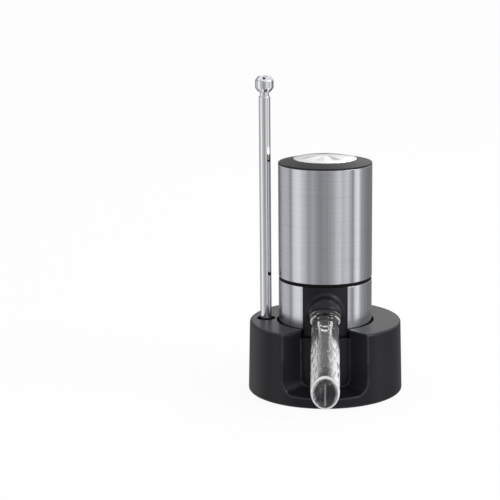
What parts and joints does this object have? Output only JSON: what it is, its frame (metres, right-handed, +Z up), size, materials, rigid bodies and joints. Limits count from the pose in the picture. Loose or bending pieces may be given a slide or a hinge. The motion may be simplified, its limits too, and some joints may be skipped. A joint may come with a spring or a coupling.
{
  "type": "electric wine aerator",
  "caption": "Electric wine aerator with a steel body, clear slanted pouring spout and top button, standing in a round black storage base beside its telescopic steel draw tube.",
  "frame": {"origin": "on the surface that the base stands on, under the axis of the aerator and of the base", "axes": "+Z up along the aerator's axis, -Y towards the spout, -X towards the draw tube"},
  "size_m": [0.0964, 0.1224, 0.1967],
  "materials": {
    "base_black": "fine matt moulded black plastic",
    "inner_black": "plain moulded black plastic",
    "rubber_black": "matt black rubber",
    "rubber_grey": "matt dark grey silicone",
    "screw_steel": "plain zinc-plated steel",
    "polished_steel": "polished stainless steel",
    "natural_plastic": "natural off-white plastic",
    "head_black": "satin moulded black plastic",
    "brushed_steel": "stainless steel with fine vertical brushing",
    "hose_silicone": "milky silicone hose",
    "clear_acrylic": "clear polished acrylic",
    "seam_black": "black plastic",
    "motor_steel": "plated steel can",
    "cell_green": "shrink-wrapped cell",
    "board_green": "green circuit board",
    "lamp_clear": "clear light pipe",
    "cap_black": "satin moulded black plastic",
    "spun_steel": "stainless steel with circular brushing"
  },
  "bodies": {
    "base": {"base_shell": "base_black", "cup_liner": "base_black", "base_cover": "inner_black", "base_pad": "rubber_black", "base_screws": "screw_steel"},
    "outer_tube": {"draw_tube": "polished_steel", "tube_bush": "natural_plastic"},
    "inner_tube": {"sliding_tube": "polished_steel", "inlet_foot": "polished_steel"},
    "pour_head": {"head_housing": "head_black", "neck_guide": "head_black", "head_sleeve": "brushed_steel", "bottle_stopper": "rubber_grey", "inlet_fitting": "natural_plastic", "inlet_grommet": "rubber_black", "wine_hose": "hose_silicone", "spout_nozzle": "head_black", "spout_o_ring": "rubber_black", "air_port_seal": "rubber_grey"},
    "spout": {"pour_spout": "clear_acrylic"},
    "motor_unit": {"seam_ring": "seam_black", "upper_sleeve": "brushed_steel", "motor_chassis": "inner_black", "air_pump": "inner_black", "pump_motor": "motor_steel", "motor_shaft": "screw_steel", "battery_cell": "cell_green", "inner_frame": "inner_black", "frame_screws": "screw_steel", "control_board": "board_green", "tact_switch": "seam_black", "return_spring": "screw_steel", "usb_connector": "screw_steel", "charge_board": "board_green", "charge_led": "lamp_clear", "top_cap": "cap_black"},
    "button": {"button_carrier": "inner_black", "dome_button": "spun_steel"}
  },
  "joints": [
    {"name": "lift_off", "type": "slide", "parent": "base", "child": "pour_head", "axis": [0, 0, 1], "range_m": [0, 0.075]},
    {"name": "twist_lock", "type": "hinge", "parent": "pour_head", "child": "motor_unit", "pos_m": [0, 0, 0.0713], "axis": [0, 0, 1], "range_deg": [0, 30]},
    {"name": "button_press", "type": "slide", "parent": "motor_unit", "child": "button", "axis": [0, 0, -1], "range_m": [0, 0.0012], "stiffness_N_per_m": 900, "springref_m": -0.0012, "deforming": ["return_spring"]},
    {"name": "spout_pull", "type": "slide", "parent": "pour_head", "child": "spout", "axis": [0, -0.7071, -0.7071], "range_m": [0, 0.01]},
    {"name": "tube_lift", "type": "slide", "parent": "base", "child": "outer_tube", "axis": [0, 0, 1], "range_m": [0, 0.045]},
    {"name": "tube_extend", "type": "slide", "parent": "outer_tube", "child": "inner_tube", "axis": [0, 0, 1], "range_m": [0, 0.1]}
  ]
}
